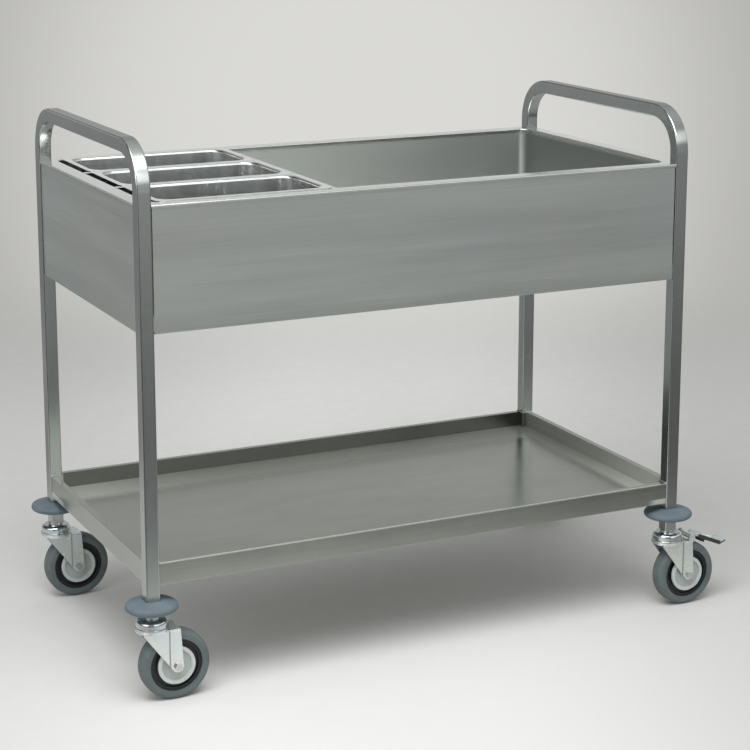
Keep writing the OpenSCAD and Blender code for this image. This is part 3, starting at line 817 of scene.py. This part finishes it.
class TROLLEY_OT_end_frames(Operator):
    """End frames: two legs and a push handle bent from one square tube"""
    bl_idname = "trolley.end_frames"
    bl_label = "End frames"

    def execute(self, context):
        steel = context.scene.trolley.steel
        handle_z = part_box("end_frame_left")[1].z
        tube = finish_named("brushed_tube", brushed_tube, steel.tube, steel.dull_tube, handle_z)
        for side in ("left", "right"):
            rounded(f"end_frame_{side}", f"{side}_end_frame", 0.0, "trolley", tube)
        return {"FINISHED"}


class TROLLEY_OT_panels(Operator):
    """Side panels between the legs, brushed lengthwise"""
    bl_idname = "trolley.panels"
    bl_label = "Side panels"

    def execute(self, context):
        settings = context.scene.trolley
        steel, edge = settings.steel, settings.details.sheet_edge
        for side, axis in (("front", "X"), ("back", "X"), ("left", "Y"), ("right", "Y")):
            sheet = finish_named(f"brushed_panel_{axis}", brushed, steel.panel, steel.dull_panel, axis)
            rounded(f"apron_{side}", f"{side}_panel", edge, "trolley", sheet)
        return {"FINISHED"}


class TROLLEY_OT_basin(Operator):
    """Basin folded from one sheet: well, flat rim and lip, cut out round the legs"""
    bl_idname = "trolley.basin"
    bl_label = "Basin"

    def execute(self, context):
        settings = context.scene.trolley
        steel, detail = settings.steel, settings.details
        low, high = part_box("basin")
        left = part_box("end_frame_left")
        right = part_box("end_frame_right")
        rim = detail.rim
        well_low = Vector((left[0].x + rim, left[0].y + rim, low.z + detail.sheet))
        well_high = Vector((right[1].x - rim, right[1].y - rim, high.z))
        basin = self.folded(detail, (high - low) / 2, well_low, well_high)
        thickened(basin, detail.sheet)
        self.cut_out_legs(basin, left, right, low.z, high.z)
        sheet = finish_named("rolled_sheet", basin_sheet, steel.basin, steel.dull_basin, well_high)
        finished(basin, "trolley", sheet, ["basin"])
        for node, name in (("pan_rail", "container_rail"), ("pan_bars", "container_bars")):
            rounded(node, name, detail.sheet_edge, "trolley", sheet)
        return {"FINISHED"}

    def folded(self, detail, reach, well_low, well_high):
        """Well, rim and lip as one skin, the rim reaching out from the middle"""
        centre = (well_low + well_high) / 2
        half = (well_high - well_low) / 2
        top = well_high.z
        grow = Vector((reach.x / half.x, reach.y / half.y))
        basin = block("folded_basin", well_low, well_high)
        with shaping(basin) as shape:
            shape.open_box(detail.well_corner, steps=6)
            shape.edges_on(lambda point: point.z < well_low.z + NEAR)
            shape.bevel(detail.well_fold, steps=5)
            shape.edges_on(lambda point: point.z > top - NEAR)
            shape.pull((0, 0, 0))
            shape.scale((grow.x, grow.y, 1.0), (centre.x, centre.y, top))
            for corner in corners_of(centre, reach, top):
                shape.pick("VERT", lambda vertex: vertex.co.z > top - NEAR
                           and beside(vertex.co, corner, grow * detail.well_corner))
                shape.scale((detail.rim_pinch, detail.rim_pinch, 1.0), corner)
            shape.pick("EDGE", lambda edge: len(edge.link_faces) == 1 and all(
                vertex.co.z > top - NEAR
                and (abs(vertex.co.x - centre.x) > reach.x - RIM_BAND
                     or abs(vertex.co.y - centre.y) > reach.y - RIM_BAND)
                for vertex in edge.verts))
            shape.pull((0, 0, -detail.lip))
            shape.folds_at(top)
            shape.bevel(detail.rim_fold, steps=3)
            bpy.ops.mesh.select_all(action="SELECT")
            bpy.ops.mesh.flip_normals()
        return basin

    def cut_out_legs(self, basin, left, right, low, high):
        """Cuts the four legs out of the basin's corners"""
        tube = left[1].x - left[0].x
        legs = []
        for x in (left[0].x, right[1].x - tube):
            for y in (left[0].y, left[1].y - tube):
                legs.append(block("leg_cut", (x - NEAR, y - NEAR, low),
                                  (x + tube + NEAR, y + tube + NEAR, high + tube)))
        cutter = joined("leg_cut", legs)
        applied(basin, "BOOLEAN", object=cutter, operation="DIFFERENCE", solver="EXACT")
        removed(cutter)


class TROLLEY_OT_containers(Operator):
    """Deep-drawn containers that lift out of the basin"""
    bl_idname = "trolley.containers"
    bl_label = "Containers"

    def execute(self, context):
        settings = context.scene.trolley
        steel, detail = settings.steel, settings.details
        metal = finish_named("drawn_sheet", drawn, steel.container, steel.dull_basin)
        for row in CONTAINERS:
            piece = self.drawn_container(detail, row)
            finished(piece, f"container_{row}", metal, [f"pan_{row}"])
        return {"FINISHED"}

    def drawn_container(self, detail, row):
        """Tub with drafted walls, round corners and a flat rim"""
        low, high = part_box(f"pan_{row}")
        rim, draft, rim_corner = detail.container_rim, detail.container_draft, detail.container_rim_corner
        seat = high.z - detail.container_sheet
        centre = (low + high) / 2
        reach = (high - low) / 2
        half = Vector((reach.x - rim, reach.y - rim))
        grow = Vector((reach.x / half.x, reach.y / half.y))
        corner_size = grow * detail.container_corner
        tub = block(f"{row}_container", (centre.x - half.x, centre.y - half.y, low.z),
                    (centre.x + half.x, centre.y + half.y, seat))
        with shaping(tub) as shape:
            shape.open_box(detail.container_corner, steps=8)
            shape.edges_on(lambda point: point.z < low.z + NEAR)
            shape.bevel(detail.container_fold, steps=6)
            shape.pick("VERT", lambda vertex: vertex.co.z < low.z + detail.container_fold + NEAR)
            shape.scale((draft, draft, 1.0), (centre.x, centre.y, low.z))
            shape.edges_on(lambda point: point.z > seat - NEAR)
            shape.pull((0, 0, 0))
            shape.scale((grow.x, grow.y, 1.0), (centre.x, centre.y, seat))
            for corner in corners_of(centre, reach, seat):
                shape.pick("VERT", lambda vertex: vertex.co.z > seat - NEAR
                           and len(vertex.link_edges) == 3
                           and beside(vertex.co, corner, corner_size))
                shape.scale((rim_corner / corner_size.x, rim_corner / corner_size.y, 1.0), corner)
            shape.folds_at(seat)
            shape.bevel(detail.container_rim_fold, steps=4)
        thickened(tub, detail.container_sheet)
        bevelled(tub, detail.container_edge, 2, RIM_CREASE)
        return tub


class TROLLEY_OT_shelf(Operator):
    """Lower shelf with its weld beads at the legs"""
    bl_idname = "trolley.shelf"
    bl_label = "Shelf"

    def execute(self, context):
        settings = context.scene.trolley
        steel, detail = settings.steel, settings.details
        low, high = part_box("shelf")
        sheet = finish_named("shelf_sheet", shelf_sheet, steel.shelf, steel.dull_shelf, low, high,
                             detail.shelf_drop, detail.shelf_land)
        rounded("shelf", "folded_shelf", detail.sheet_edge, "trolley", sheet)
        bead = self.weld_bead(detail)
        beads = []
        stand = detail.weld * detail.weld_out
        top = high.z + stand
        for side in ("left", "right"):
            frame_low, frame_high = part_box(f"end_frame_{side}")
            tube = frame_high.x - frame_low.x
            middle_x = (frame_low.x + frame_high.x) / 2
            inner_x = frame_high.x + stand if side == "left" else frame_low.x - stand
            for leg_y, inward in ((frame_low.y + tube / 2, 1), (frame_high.y - tube / 2, -1)):
                along_y = copied(bead, "weld_bead")
                along_y.location = (inner_x, leg_y, top)
                along_y.rotation_euler = (math.pi / 2, 0, 0)
                along_x = copied(bead, "weld_bead")
                along_x.location = (middle_x, leg_y + inward * (tube / 2 + stand), top)
                along_x.rotation_euler = (0, math.pi / 2, 0)
                beads += [along_y, along_x]
        removed(bead)
        welds = settled(joined("shelf_weld_beads", beads))
        finished(welds, "trolley", finish_named("weld_metal", weld_metal, steel.basin))
        return {"FINISHED"}

    def weld_bead(self, detail):
        """One rippled bead along Z, with drawn-in ends"""
        bead = added(bpy.ops.mesh.primitive_cylinder_add, "bead", vertices=10, radius=detail.weld,
                     depth=detail.weld_run)
        half_run = detail.weld_run / 2
        half_step = half_run / detail.weld_ripples
        waist, tip = detail.weld_waist, detail.weld_tip
        with shaping(bead) as shape:
            shape.pick("EDGE", lambda edge: abs(edge.verts[0].co.z - edge.verts[1].co.z) > half_step)
            bpy.ops.mesh.subdivide(number_cuts=2 * detail.weld_ripples - 1)
            shape.pick("VERT", lambda vertex: round((vertex.co.z + half_run) / half_step) % 2 == 1)
            shape.scale((waist, waist, 1.0), (0, 0, 0))
            shape.pick("VERT", lambda vertex: abs(vertex.co.z) > half_run - half_step / 2)
            shape.scale((tip, tip, 1.0), (0, 0, 0))
        return bead


class TROLLEY_OT_bumpers(Operator):
    """Bumper discs round the legs"""
    bl_idname = "trolley.bumpers"
    bl_label = "Bumpers"

    def execute(self, context):
        rubber = finish_named("scuffed_bumper", bumper_rubber, context.scene.trolley.castors.bumper)
        for corner in CORNERS:
            rounded(f"bumper_{corner}", f"bumper_disc_{corner}", 0.0, "trolley", rubber)
        return {"FINISHED"}


class TROLLEY_OT_castors(Operator):
    """Swivel heads, forks, axles and the parts inside them"""
    bl_idname = "trolley.castors"
    bl_label = "Castors"

    def execute(self, context):
        settings = context.scene.trolley
        tones, edge = settings.castors, settings.details.casting_edge
        zinc = (tones.zinc, tones.dull_zinc, tones.metal_zinc)
        plate = finish_named("zinc_plate", zinc_plate, *zinc)
        bright = finish_named("bright_zinc", zinc_plate, tones.head, tones.dull_head, 1.0)
        ground = finish_named("ground_steel", ground_steel, settings.steel.container)
        dressed("leg_plugs", plate)
        for corner in CORNERS:
            body = f"castor_{corner}"
            rounded(f"castor_head_{corner}", f"swivel_head_{corner}", edge, "trolley", bright)
            # Each fork's plate gets painted shade along the line of its crease
            crease = HINGES[f"castor_swivel_{corner}"].x + settings.details.fork_crease
            pressed = finish_named(f"fork_painted_crease_{corner}", zinc_plate, *zinc, crease)
            rounded(f"castor_fork_{corner}", f"fork_{corner}", edge, body, pressed)
            rounded(f"castor_axle_{corner}", f"axle_bolt_{corner}", edge / 2, body, bright)
            dressed(f"castor_balls_{corner}", ground)
            dressed(f"wheel_bearings_{corner}", ground)
        return {"FINISHED"}


class TROLLEY_OT_wheels(Operator):
    """Tyres, cores and thread guards"""
    bl_idname = "trolley.wheels"
    bl_label = "Wheels"

    def execute(self, context):
        settings = context.scene.trolley
        tones, edge = settings.castors, settings.details.casting_edge
        for corner in CORNERS:
            body, axle = f"wheel_{corner}", HINGES[f"wheel_spin_{corner}"]
            rubber = finish_named(f"tyre_rubber_{corner}", tyre_rubber, tones.tyre, axle)
            black = finish_named(f"core_plastic_{corner}", moulded, tones.core, tones.dull_core, axle,
                                 CORE_GRAIN)
            # The guards' plastic gets painted shade inside the lip
            pale = finish_named(f"guard_plastic_{corner}", moulded, tones.guard, tones.dull_guard, axle,
                                GUARD_GRAIN, settings.details.guard_lip)
            rounded(f"wheel_tyre_{corner}", f"tyre_{corner}", edge, body, rubber)
            rounded(f"wheel_core_{corner}", f"core_{corner}", edge, body, black)
            rounded(f"thread_guards_{corner}", f"guards_{corner}", edge, body, pale)
        return {"FINISHED"}


class TROLLEY_OT_brakes(Operator):
    """Brake pedals with ribbed treads, their pins and shoes"""
    bl_idname = "trolley.brakes"
    bl_label = "Brakes"

    def execute(self, context):
        settings = context.scene.trolley
        tones, detail = settings.castors, settings.details
        zinc = (tones.zinc, tones.dull_zinc, tones.metal_zinc)
        plate = finish_named("zinc_plate", zinc_plate, *zinc)
        black = finish_named("rubbed_shoe", shoe_rubber, tones.shoe)
        for corner in BRAKED:
            body, pivot = f"pedal_{corner}", HINGES[f"brake_press_{corner}"]
            # Each pedal's plate gets painted shade on its sides
            sides = (pivot.y, detail.pedal_half)
            lever = finish_named(f"pedal_plate_{corner}", zinc_plate, *zinc, None, sides)
            rounded(f"brake_pedal_{corner}", f"pedal_{corner}", detail.sheet_edge, body, lever)
            rounded(f"brake_shoe_{corner}", f"shoe_{corner}", detail.shoe_edge, body, black)
            rounded(f"brake_pin_{corner}", f"pedal_pin_{corner}", detail.pin_edge, f"castor_{corner}",
                    plate)
            finished(self.tread(detail, f"pedal_tread_{corner}", pivot), body, plate)
        return {"FINISHED"}

    def tread(self, detail, name, pivot):
        """Ribs pressed up across the pedal, near its toe"""
        half, width = detail.tread_rib / 2, detail.tread_half
        rise, slope = detail.pedal_top, detail.pedal_slope
        ribs = []
        for number in range(detail.tread_ribs):
            along = detail.tread_end - number * detail.tread_pitch
            rib = block("rib", (-half, -width, -detail.tread_sunk), (half, width, detail.tread_rise))
            bevelled(rib, detail.tread_edge, 3, RIB_CREASE)
            rib.rotation_euler = (0, slope, 0)
            rib.location = pivot + Vector((along * math.cos(slope) + rise * math.sin(slope), 0,
                                           rise * math.cos(slope) - along * math.sin(slope)))
            ribs.append(rib)
        return settled(joined(name, ribs))


class TROLLEY_OT_stage(Operator):
    """Camera, pale floor, backdrop and soft light"""
    bl_idname = "trolley.stage"
    bl_label = "Stage"

    def execute(self, context):
        stage = context.scene.trolley.stage
        self.camera(context, stage)
        self.floor(stage)
        self.surroundings(context, stage)
        self.soft_light("key", stage.key, stage.key_place, KEY_SIZE)
        self.soft_light("fill", stage.fill, stage.fill_place, FILL_SIZE)
        context.scene.view_settings.view_transform = "Standard"
        return {"FINISHED"}

    def camera(self, context, stage):
        turn = (math.pi / 2 - stage.camera_down, 0, -stage.camera_turn)
        camera = added(bpy.ops.object.camera_add, "Camera", location=stage.camera, rotation=turn)
        camera.data.sensor_width = SENSOR
        camera.data.lens = stage.lens
        camera.data.shift_y = stage.lens_rise
        camera.data.clip_end = FAR_CLIP
        context.scene.camera = camera

    def floor(self, stage):
        floor = added(bpy.ops.mesh.primitive_circle_add, "floor", vertices=128, radius=stage.floor_reach,
                      fill_type="NGON")
        paper = finish_named("pale_paper", pale_paper, stage.floor, stage.floor_reach, stage.camera_turn)
        floor.data.materials.append(paper)

    def surroundings(self, context, stage):
        """Pale paper for the camera, a studio for the metal, even light for the rest"""
        world = bpy.data.worlds.new("studio")
        context.scene.world = world
        graph = Graph(world)
        way = graph.add("ShaderNodeTexCoord", output="Generated")
        studio = self.studio(graph, graph.parts(way), stage.camera)
        rays = graph.add("ShaderNodeLightPath", output="Is Camera Ray")
        seen = graph.mixed(rays.other("Is Glossy Ray"), grey(stage.ambient), studio)
        ahead = graph.dot(way, GLOW_WAY).rising(0.978, 0.9995)
        glow = graph.toned(ahead, stage.backdrop, dark=0.66, light=1.0)
        seen = graph.mixed(rays, seen, glow)
        light = graph.add("ShaderNodeBackground", {}, {"Color": seen, "Strength": 1.0})
        graph.add("ShaderNodeOutputWorld", {}, {"Surface": light})

    def studio(self, graph, way, camera):
        """Dimmer to the right, dark at the upper left and round the camera"""
        x, y, z = way
        height = z * 0.5 + 0.5
        behind = graph.add("ShaderNodeValToRGB", {"stops": STUDIO_BEHIND}, {0: height})
        before = graph.add("ShaderNodeValToRGB", {"stops": STUDIO_BEFORE}, {0: height})
        dim = 1.0 - x.rising(0.30, 0.70) * 0.45
        before = graph.add("ShaderNodeVectorMath", {"operation": "SCALE"}, {0: before, "Scale": dim})
        gloom = (1.0 - x.rising(-0.45, 0.10)) * z.rising(0.0, 0.25) * 0.95
        behind = graph.mixed(gloom, behind, grey(0.05))
        studio = graph.mixed(y.rising(-0.3, 0.3), before, behind)
        towards = (x * camera[0] + y * camera[1]) / diagonal(x, y) / math.hypot(camera[0], camera[1])
        return graph.mixed(towards.rising(0.88, 0.97) * 0.75, studio, grey(0.03))

    def soft_light(self, name, watts, spot, size):
        lamp = added(bpy.ops.object.light_add, name, type="AREA", location=spot)
        lamp.data.energy = watts
        lamp.data.shape = "RECTANGLE"
        lamp.data.size, lamp.data.size_y = size
        lamp.rotation_euler = (LIGHT_AIM - Vector(spot)).to_track_quat("-Z", "Y").to_euler()


class TROLLEY_PT_panel(Panel):
    """Lists the steps that finish the trolley"""
    bl_idname = "TROLLEY_PT_panel"
    bl_label = "Clearing trolley"
    bl_space_type = "VIEW_3D"
    bl_region_type = "UI"
    bl_category = "Trolley"

    def draw(self, context):
        for step in STEPS:
            self.layout.operator(step.bl_idname)


SETTINGS = (SteelSettings, CastorSettings, DetailSettings, StageSettings, TrolleySettings)
STEPS = (TROLLEY_OT_end_frames, TROLLEY_OT_panels, TROLLEY_OT_basin, TROLLEY_OT_containers,
         TROLLEY_OT_shelf, TROLLEY_OT_bumpers, TROLLEY_OT_castors, TROLLEY_OT_wheels, TROLLEY_OT_brakes,
         TROLLEY_OT_stage)
CLASSES = SETTINGS + STEPS + (TROLLEY_PT_panel,)


def register():
    for cls in CLASSES:
        bpy.utils.register_class(cls)
    bpy.types.Scene.trolley = PointerProperty(type=TrolleySettings)


def unregister():
    del bpy.types.Scene.trolley
    for cls in reversed(CLASSES):
        bpy.utils.unregister_class(cls)


def main():
    register()
    bpy.ops.trolley.end_frames()
    bpy.ops.trolley.panels()
    bpy.ops.trolley.basin()
    bpy.ops.trolley.containers()
    bpy.ops.trolley.shelf()
    bpy.ops.trolley.bumpers()
    bpy.ops.trolley.castors()
    bpy.ops.trolley.wheels()
    bpy.ops.trolley.brakes()
    bpy.ops.trolley.stage()


if __name__ == "__main__":
    main()
